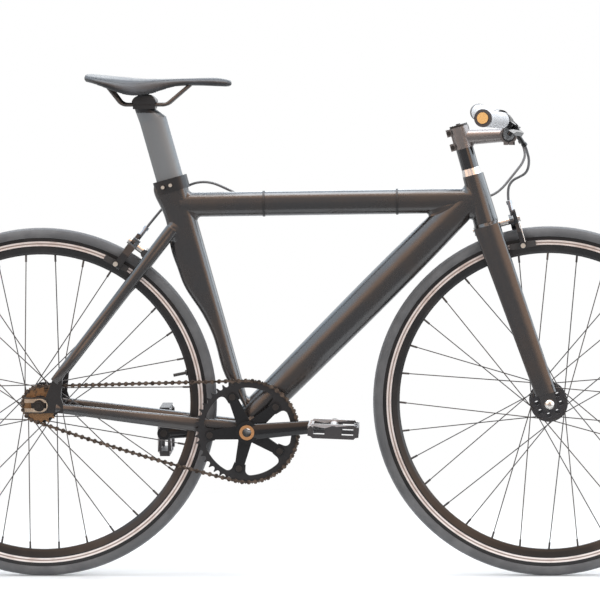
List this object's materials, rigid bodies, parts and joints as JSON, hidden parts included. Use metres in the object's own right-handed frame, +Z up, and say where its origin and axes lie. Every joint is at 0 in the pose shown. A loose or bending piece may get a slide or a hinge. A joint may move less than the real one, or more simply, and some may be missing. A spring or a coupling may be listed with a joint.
{
  "type": "fixed gear bicycle",
  "caption": "Black diamond-frame fixed gear bicycle with a wide aero down tube, deep-section rims, short flat handlebar, rim brakes and a slim racing saddle.",
  "frame": {"origin": "on the ground under the middle of the wheelbase, in the bicycle's middle plane", "axes": "+X forwards to the front wheel, +Y to the rider's left, +Z up; the chain is on the -Y side"},
  "size_m": [1.6389, 0.5404, 0.9631],
  "materials": {
    "frame_paint": "satin black paint over aluminium",
    "fork_paint": "satin black paint over aluminium",
    "black_alloy": "satin black anodised",
    "gloss_black_alloy": "gloss black anodised",
    "post_grey": "dark grey anodised",
    "stem_alloy": "dark satin anodised",
    "rim_black": "black anodised with machined brake tracks",
    "tyre_rubber": "matt tread and sidewall",
    "tube_rubber": "smooth butyl",
    "spoke_steel": "black drawn wire",
    "bearing_steel": "ground",
    "axle_steel": "zinc plated",
    "dark_steel": "blackened",
    "chain_steel": "dark brown, oiled",
    "cog_bronze": "bronze plated",
    "cap_copper": "copper anodised",
    "pedal_black": "black with worn edges",
    "saddle_leather": "fine grained synthetic leather",
    "saddle_shell": "moulded",
    "rail_steel": "bright satin",
    "grip_rubber": "light grey, lightly textured",
    "spacer_black": "glossy",
    "housing_plastic": "smooth extruded",
    "tie_plastic": "moulded nylon"
  },
  "bodies": {
    "frame": {"head_tube": "frame_paint", "top_tube": "frame_paint", "down_tube": "frame_paint", "seat_tube": "frame_paint", "bottom_bracket_shell": "frame_paint", "chainstays": "frame_paint", "seatstays": "frame_paint", "dropouts": "frame_paint", "brake_bridge": "frame_paint", "headset_bearings": "bearing_steel", "bottom_bracket_bearings": "black_alloy", "seat_clamp": "black_alloy", "rear_axle": "axle_steel", "rear_axle_nuts": "axle_steel", "chain": "chain_steel", "rear_brake_bolt": "dark_steel", "rear_brake_cable": "housing_plastic", "cable_ties": "tie_plastic"},
    "steering": {"fork": "fork_paint", "headset_spacers": "spacer_black", "stem": "stem_alloy", "stem_faceplate": "stem_alloy", "stem_fasteners": "dark_steel", "handlebar": "black_alloy", "grips": "grip_rubber", "lever_brackets": "gloss_black_alloy", "front_brake_bolt": "dark_steel", "front_axle": "axle_steel", "front_brake_cable": "housing_plastic", "rear_brake_cable_loop": "housing_plastic"},
    "front_wheel": {"front_tyre": "tyre_rubber", "front_inner_tube": "tube_rubber", "front_rim": "rim_black", "front_spokes": "spoke_steel", "front_hub": "black_alloy"},
    "rear_wheel": {"rear_tyre": "tyre_rubber", "rear_inner_tube": "tube_rubber", "rear_rim": "rim_black", "rear_spokes": "spoke_steel", "rear_hub": "black_alloy", "rear_cog": "cog_bronze"},
    "crankset": {"crank_arm_right": "gloss_black_alloy", "crank_arm_left": "gloss_black_alloy", "crank_spindle": "dark_steel", "chainring": "black_alloy", "chainring_bolts": "dark_steel", "crank_bolts": "cap_copper", "pedal_spindles": "dark_steel"},
    "right_pedal": {"right_pedal": "pedal_black"},
    "left_pedal": {"left_pedal": "pedal_black"},
    "brake_lever_right": {"brake_lever_right": "gloss_black_alloy"},
    "brake_lever_left": {"brake_lever_left": "gloss_black_alloy"},
    "front_brake_arm_right": {"front_brake_arm_right": "black_alloy"},
    "front_brake_arm_left": {"front_brake_arm_left": "black_alloy"},
    "rear_brake_arm_left": {"rear_brake_arm_left": "black_alloy"},
    "rear_brake_arm_right": {"rear_brake_arm_right": "black_alloy"},
    "seatpost": {"seatpost": "post_grey", "saddle_cover": "saddle_leather", "saddle_base": "saddle_shell", "saddle_rails": "rail_steel"}
  },
  "joints": [
    {"name": "steering", "type": "hinge", "parent": "frame", "child": "steering", "pos_m": [0.36447, 0, 0.678], "axis": [-0.2672, 0, 0.9636], "range_deg": [-60, 60], "deforming": ["rear_brake_cable_loop"]},
    {"name": "front_wheel_spin", "type": "hinge", "parent": "steering", "child": "front_wheel", "pos_m": [0.4845, 0, 0.335], "axis": [0, 1, 0], "continuous": true},
    {"name": "rear_wheel_spin", "type": "hinge", "parent": "frame", "child": "rear_wheel", "pos_m": [-0.4845, 0, 0.335], "axis": [0, 1, 0], "continuous": true, "deforming": ["chain"]},
    {"name": "crank_spin", "type": "hinge", "parent": "frame", "child": "crankset", "pos_m": [-0.08979, 0, 0.2823], "axis": [0, 1, 0], "continuous": true},
    {"name": "right_pedal_spin", "type": "hinge", "parent": "crankset", "child": "right_pedal", "pos_m": [0.07707, -0.14, 0.2969], "axis": [0, 1, 0], "continuous": true},
    {"name": "left_pedal_spin", "type": "hinge", "parent": "crankset", "child": "left_pedal", "pos_m": [-0.25665, 0.14, 0.2677], "axis": [0, 1, 0], "continuous": true},
    {"name": "right_lever_pull", "type": "hinge", "parent": "steering", "child": "brake_lever_right", "pos_m": [0.41756, -0.12769, 0.85966], "axis": [-0.5272, 0.101, -0.8437], "range_deg": [0, 13], "stiffness_Nm_per_rad": 1.5, "springref_deg": -17.19},
    {"name": "left_lever_pull", "type": "hinge", "parent": "steering", "child": "brake_lever_left", "pos_m": [0.41756, 0.12769, 0.85966], "axis": [0.5272, 0.101, 0.8437], "range_deg": [0, 13], "stiffness_Nm_per_rad": 1.5, "springref_deg": -17.19},
    {"name": "front_right_arm_close", "type": "hinge", "parent": "steering", "child": "front_brake_arm_right", "pos_m": [0.36714, 0, 0.66836], "axis": [0.9636, 0, 0.2672], "range_deg": [0, 1.4]},
    {"name": "front_left_arm_close", "type": "hinge", "parent": "steering", "child": "front_brake_arm_left", "pos_m": [0.36714, 0, 0.66836], "axis": [-0.9636, 0, -0.2672], "range_deg": [0, 1.4]},
    {"name": "rear_left_arm_close", "type": "hinge", "parent": "frame", "child": "rear_brake_arm_left", "pos_m": [-0.28371, 0, 0.62051], "axis": [-0.7904, 0, 0.6126], "range_deg": [0, 1.4]},
    {"name": "rear_right_arm_close", "type": "hinge", "parent": "frame", "child": "rear_brake_arm_right", "pos_m": [-0.28371, 0, 0.62051], "axis": [0.7904, 0, -0.6126], "range_deg": [0, 1.4]},
    {"name": "seatpost_slide", "type": "slide", "parent": "frame", "child": "seatpost", "axis": [-0.2679, 0, 0.9634], "range_m": [-0.06, 0.05]}
  ],
  "couplings": [
    {"joint": "crank_spin", "follows": "rear_wheel_spin", "ratio": 0.35417},
    {"joint": "front_right_arm_close", "follows": "right_lever_pull", "ratio": 0.107},
    {"joint": "front_left_arm_close", "follows": "right_lever_pull", "ratio": 0.107},
    {"joint": "rear_left_arm_close", "follows": "left_lever_pull", "ratio": 0.107},
    {"joint": "rear_right_arm_close", "follows": "left_lever_pull", "ratio": 0.107}
  ]
}
